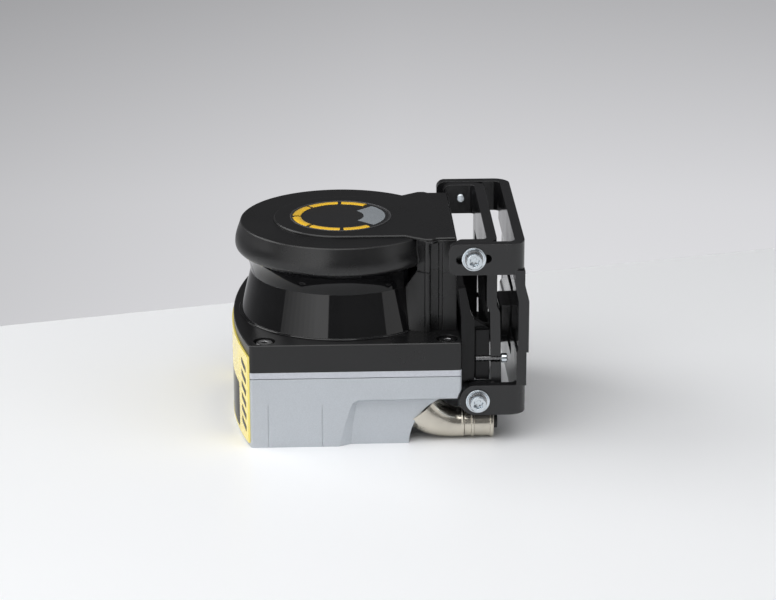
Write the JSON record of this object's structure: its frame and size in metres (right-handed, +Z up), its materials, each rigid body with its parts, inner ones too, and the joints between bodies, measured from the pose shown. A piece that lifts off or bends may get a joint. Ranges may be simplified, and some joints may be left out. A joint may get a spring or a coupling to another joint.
{
  "type": "lidar scanner",
  "caption": "Safety laser scanner with a silver base, dark conical window and disc cap, on a black tilting wall bracket.",
  "frame": {"origin": "on the scan axis, at the underside of the base", "axes": "+X to the rear, towards the wall bracket; +Z up along the scan axis; -Y is the connector side"},
  "size_m": [0.1795, 0.1518, 0.1274],
  "materials": {
    "silver_paint": "fine metallic silver paint",
    "silver_lid": "fine metallic silver paint",
    "black_shell": "fine textured black",
    "black_cap": "satin black",
    "dark_window": "polished, dark, clear to infrared",
    "label_yellow": "satin printed film",
    "mark_yellow": "glossy raised marks",
    "mark_black": "printed",
    "mark_grey": "printed",
    "display_glass": "polished dark window",
    "board_green": "solder resist",
    "chip_black": "moulded",
    "lamp_clear": "clear",
    "seal_rubber": "matt",
    "nickel": "satin nickel plate",
    "contact_gold": "gold flash",
    "bracket_black": "fine black powder coat",
    "plate_black": "black paint",
    "hood_black": "polished dark ring",
    "zinc": "bright zinc plate",
    "steel": "ground",
    "die_cast": "as cast",
    "magnet_grey": "sintered",
    "copper_wire": "enamelled wire",
    "mirror_face": "front silvered",
    "lens_glass": "polished"
  },
  "bodies": {
    "scanner": {"base_housing": "silver_paint", "bottom_cover": "silver_paint", "bottom_cover_screws": "zinc", "base_lid": "silver_lid", "head_seal": "seal_rubber", "front_label": "label_yellow", "front_marks": "mark_black", "display_window": "display_glass", "display_board": "board_green", "status_leds": "lamp_clear", "base_board": "board_green", "base_board_parts": "chip_black", "link_connector": "chip_black", "scanner_housing": "black_shell", "window_seal": "seal_rubber", "rear_pillar": "black_shell", "optics_cover": "dark_window", "hood_ring": "hood_black", "cap": "black_cap", "cap_top_plate": "black_cap", "range_disc": "mark_black", "range_segments": "mark_yellow", "range_sector": "mark_grey", "range_circle": "mark_grey", "motor_carrier": "die_cast", "carrier_screws": "zinc", "upper_bearing_plate": "die_cast", "shaft_bearings": "steel", "motor_stator": "steel", "motor_coils": "copper_wire", "encoder_sensor": "chip_black", "lens_holder": "chip_black", "receiver_lens": "lens_glass", "laser_module": "contact_gold", "optics_board": "board_green", "optics_board_posts": "nickel", "connector_elbow": "nickel", "connector_insert": "chip_black", "connector_contacts": "contact_gold", "mount_plate": "plate_black", "mount_screws": "zinc", "device_bracket": "bracket_black", "link_screws": "zinc", "link_nuts": "zinc", "side_screws": "zinc", "side_washers": "zinc", "side_lock_washers": "zinc"},
    "rotor": {"rotor_shaft": "steel", "rotor_magnet": "magnet_grey", "encoder_disc": "steel", "mirror_carrier": "die_cast", "scan_mirror": "mirror_face"},
    "wall_mount": {"wall_bracket": "bracket_black", "stop_block": "bracket_black"},
    "coupling": {"coupling_nut": "nickel"},
    "lock_1": {"lock_screw_1": "steel"},
    "lock_2": {"lock_screw_2": "steel"},
    "lock_3": {"lock_screw_3": "steel"},
    "lock_4": {"lock_screw_4": "steel"}
  },
  "joints": [
    {"name": "rotor_spin", "type": "hinge", "parent": "scanner", "child": "rotor", "pos_m": [0, 0, 0.056], "axis": [0, 0, 1], "continuous": true},
    {"name": "bracket_tilt", "type": "hinge", "parent": "scanner", "child": "wall_mount", "pos_m": [0.0808, 0, 0.0278], "axis": [0, 1, 0], "range_deg": [-5, 5]},
    {"name": "coupling_turn", "type": "hinge", "parent": "scanner", "child": "coupling", "pos_m": [0.08, -0.0555, 0.0096], "axis": [1, 0, 0], "continuous": true},
    {"name": "lock_turn_1", "type": "hinge", "parent": "scanner", "child": "lock_1", "pos_m": [-0.048, -0.0615, 0.06], "axis": [0, 0, 1], "range_deg": [0, 90]},
    {"name": "lock_turn_2", "type": "hinge", "parent": "scanner", "child": "lock_2", "pos_m": [-0.048, 0.0615, 0.06], "axis": [0, 0, 1], "range_deg": [0, 90]},
    {"name": "lock_turn_3", "type": "hinge", "parent": "scanner", "child": "lock_3", "pos_m": [0.0625, -0.0615, 0.06], "axis": [0, 0, 1], "range_deg": [0, 90]},
    {"name": "lock_turn_4", "type": "hinge", "parent": "scanner", "child": "lock_4", "pos_m": [0.0625, 0.0615, 0.06], "axis": [0, 0, 1], "range_deg": [0, 90]}
  ]
}
